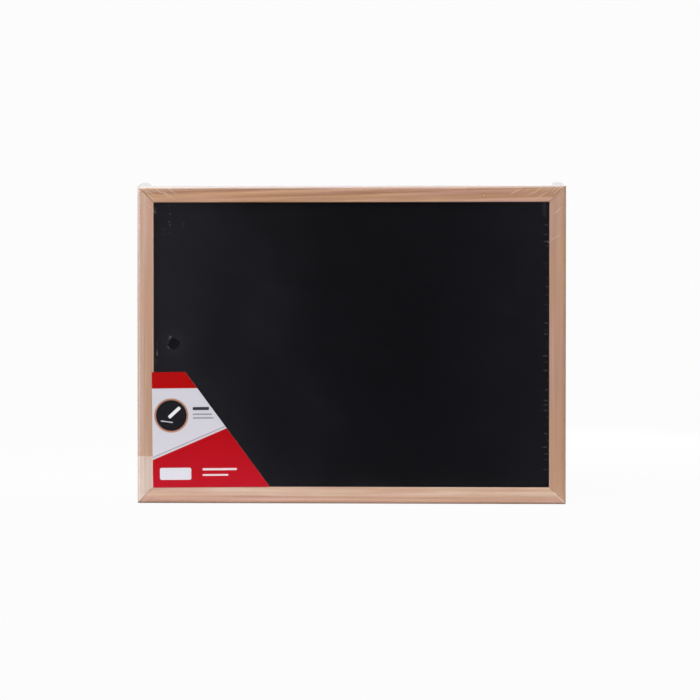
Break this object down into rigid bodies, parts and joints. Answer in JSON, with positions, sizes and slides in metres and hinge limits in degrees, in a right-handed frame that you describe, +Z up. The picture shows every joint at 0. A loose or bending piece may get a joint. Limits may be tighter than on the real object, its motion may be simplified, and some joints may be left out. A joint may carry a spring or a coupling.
{
  "type": "framed chalkboard",
  "caption": "Small magnetic chalkboard in a mitred wooden frame, with a printed corner card and ring hangers that fold out from the back for wall nails.",
  "frame": {"origin": "on the plane of the frame's back, halfway along the top rail, level with the nails that the raised hanger rings hook over", "axes": "+X to the viewer's right, +Z up, +Y towards the wall; the writing face looks along -Y"},
  "size_m": [0.3, 0.0156, 0.2223],
  "materials": {
    "frame_wood": "sanded, unvarnished",
    "nail_steel": "bright steel",
    "slate_coating": "matt black chalkboard coating on steel",
    "fibreboard": "pressed fibre",
    "zinc_steel": "galvanised",
    "hanger_brass": "brass plated steel",
    "printed_card": "gloss coated print, plain red and white design"
  },
  "bodies": {
    "board": {"frame_rail_top": "frame_wood", "frame_rail_bottom": "frame_wood", "frame_stile_left": "frame_wood", "frame_stile_right": "frame_wood", "corner_nail_top_left": "nail_steel", "corner_nail_top_right": "nail_steel", "corner_nail_bottom_left": "nail_steel", "corner_nail_bottom_right": "nail_steel", "writing_sheet": "slate_coating", "panel_core": "fibreboard", "back_sheet": "zinc_steel", "hanger_strap_left": "hanger_brass", "hanger_strap_right": "hanger_brass", "hanger_screw_left_upper": "hanger_brass", "hanger_screw_left_lower": "hanger_brass", "hanger_screw_right_upper": "hanger_brass", "hanger_screw_right_lower": "hanger_brass", "label_card": "printed_card"},
    "ring_left": {"hanger_ring_left": "hanger_brass"},
    "ring_right": {"hanger_ring_right": "hanger_brass"}
  },
  "joints": [
    {"name": "ring_left_swing", "type": "hinge", "parent": "board", "child": "ring_left", "pos_m": [-0.1446, 0.00162, -0.0083], "axis": [-1, 0, 0], "range_deg": [0, 180]},
    {"name": "ring_right_swing", "type": "hinge", "parent": "board", "child": "ring_right", "pos_m": [0.1446, 0.00162, -0.0083], "axis": [-1, 0, 0], "range_deg": [0, 180]}
  ]
}
